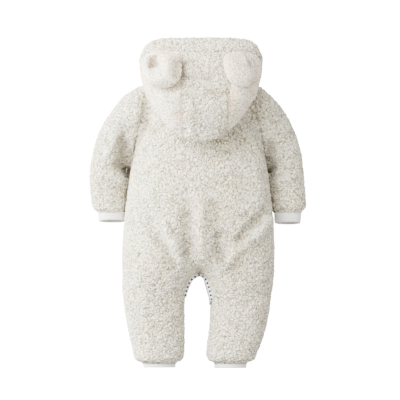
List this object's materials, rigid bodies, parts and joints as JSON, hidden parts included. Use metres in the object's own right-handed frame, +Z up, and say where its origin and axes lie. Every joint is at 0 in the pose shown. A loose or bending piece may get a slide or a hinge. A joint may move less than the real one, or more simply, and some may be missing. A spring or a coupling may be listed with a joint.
{
  "type": "hooded baby romper",
  "caption": "Hooded baby romper in curly fleece, with round ears on the hood, long sleeves and long legs, rib cuffs and a front that closes with press studs.",
  "frame": {"origin": "middle of the neck opening, at the height where the neck meets the shoulders", "axes": "+Z up from the legs to the neck, -Y towards the front, +Y towards the back and the laid-back hood, +X towards the wearer's left"},
  "size_m": [0.434, 0.2731, 0.6603],
  "materials": {
    "fleece": "cream curly fleece",
    "ear_fleece": "cream short fleece",
    "rib_knit": "off-white rib knit",
    "dotted_cotton": "plain white cotton with small black dots",
    "snap_plastic": "cream plastic"
  },
  "bodies": {
    "root": {"back_panel": "fleece", "front_panel_left": "fleece", "front_panel_right": "fleece", "sleeve_left": "fleece", "sleeve_right": "fleece", "hood_centre": "fleece", "hood_side_left": "fleece", "hood_side_right": "fleece", "hood_band": "fleece", "ear_outer_left": "ear_fleece", "ear_inner_left": "ear_fleece", "ear_outer_right": "ear_fleece", "ear_inner_right": "ear_fleece", "sleeve_cuff_left": "rib_knit", "sleeve_cuff_right": "rib_knit", "leg_cuff_left": "rib_knit", "leg_cuff_right": "rib_knit", "inseam_facing": "dotted_cotton", "front_snap_1": "snap_plastic", "front_snap_2": "snap_plastic", "front_snap_3": "snap_plastic", "front_snap_4": "snap_plastic", "front_snap_5": "snap_plastic"}
  },
  "joints": []
}
